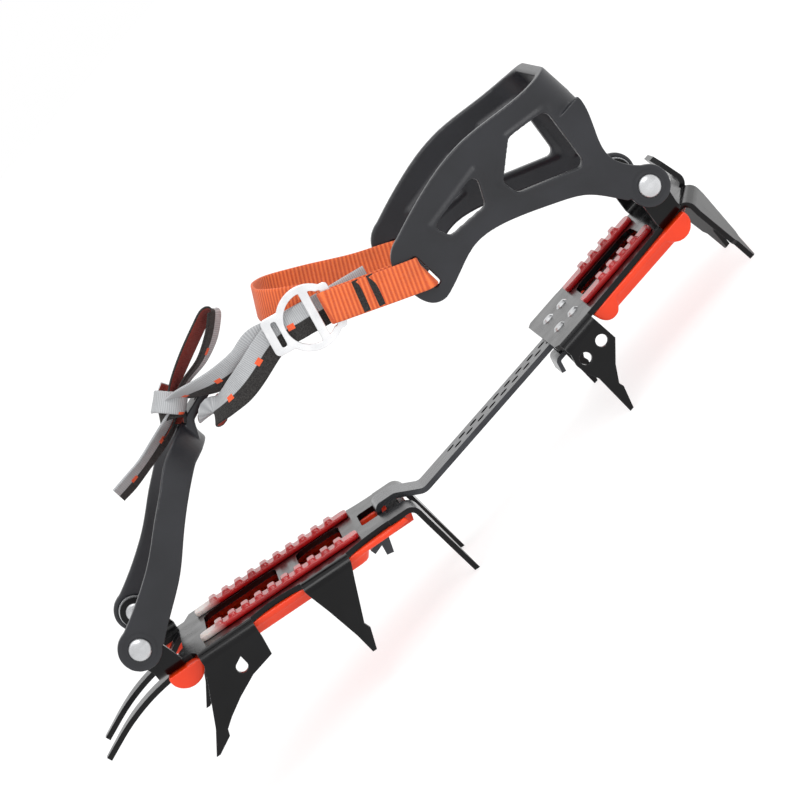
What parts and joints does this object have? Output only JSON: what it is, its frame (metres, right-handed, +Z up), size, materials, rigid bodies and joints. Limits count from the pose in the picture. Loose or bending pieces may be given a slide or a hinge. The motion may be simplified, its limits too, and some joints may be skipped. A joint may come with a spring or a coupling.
{
  "type": "strap crampon",
  "caption": "Adjustable strap crampon: two toothed steel plates on a sliding link bar, hinged toe and heel cradles, webbing and a ring buckle.",
  "frame": {"origin": "centre of the bounding box, at the tips of the teeth that stand on the ground", "axes": "+X to the toe, +Y to the outer side of the left foot, +Z up"},
  "size_m": [0.3613, 0.1, 0.1653],
  "materials": {
    "black_steel": "gloss black coating",
    "bar_steel": "dark bare spring steel",
    "rivet_steel": "bright domed heads",
    "spring_steel": "plain wire",
    "orange_tpu": "satin moulded",
    "red_tpu": "satin moulded",
    "slate_tpu": "fine matt texture",
    "orange_webbing": "ribbed flat weave",
    "black_thread": "bar tack stitching",
    "grey_webbing": "two-tone flat weave",
    "buckle_alloy": "pale satin"
  },
  "bodies": {
    "front_section": {"front_plate": "black_steel", "front_antiball": "orange_tpu", "front_pads": "red_tpu", "toe_rivets": "rivet_steel", "toe_washers": "rivet_steel"},
    "link": {"link_bar": "bar_steel"},
    "rear_section": {"rear_plate": "black_steel", "rear_antiball": "orange_tpu", "rear_pads": "red_tpu", "bar_guide": "black_steel", "guide_rivets": "rivet_steel", "latch_pin": "rivet_steel", "latch_spring": "spring_steel", "heel_rivets": "rivet_steel", "heel_washers": "rivet_steel"},
    "latch": {"length_latch": "bar_steel"},
    "heel_binding": {"heel_cradle": "slate_tpu", "left_webbing": "orange_webbing", "right_webbing": "orange_webbing", "bar_tacks": "black_thread"},
    "ring": {"buckle": "buckle_alloy"},
    "toe_binding": {"toe_cradle": "slate_tpu", "toe_strap": "grey_webbing"}
  },
  "joints": [
    {"name": "bar_flex", "type": "hinge", "parent": "front_section", "child": "link", "pos_m": [0.0272, 0, 0.0365], "axis": [0, 1, 0], "range_deg": [-4, 4], "stiffness_Nm_per_rad": 57, "deforming": ["toe_strap"]},
    {"name": "length_slide", "type": "slide", "parent": "link", "child": "rear_section", "axis": [1, 0, 0], "range_m": [0, 0.0154], "deforming": ["toe_strap"]},
    {"name": "length_latch_turn", "type": "hinge", "parent": "rear_section", "child": "latch", "pos_m": [-0.0953, 0, 0.0312], "axis": [0, 1, 0], "range_deg": [-12, 15], "stiffness_Nm_per_rad": 0.06, "springref_deg": -11.46, "deforming": ["latch_spring"]},
    {"name": "heel_cradle_pivot", "type": "hinge", "parent": "rear_section", "child": "heel_binding", "pos_m": [-0.1652, 0, 0.0586], "axis": [0, 1, 0], "range_deg": [-35, 0], "deforming": ["toe_strap"]},
    {"name": "buckle_swing", "type": "hinge", "parent": "heel_binding", "child": "ring", "pos_m": [-0.03651, 0.0425, 0.1279], "axis": [-0.342, 0, 0.9397], "range_deg": [0, 60], "deforming": ["toe_strap", "left_webbing", "right_webbing"]},
    {"name": "toe_cradle_pivot", "type": "hinge", "parent": "front_section", "child": "toe_binding", "pos_m": [0.13094, 0, 0.09265], "axis": [0, 1, 0], "range_deg": [0, 35], "deforming": ["toe_strap"]}
  ]
}
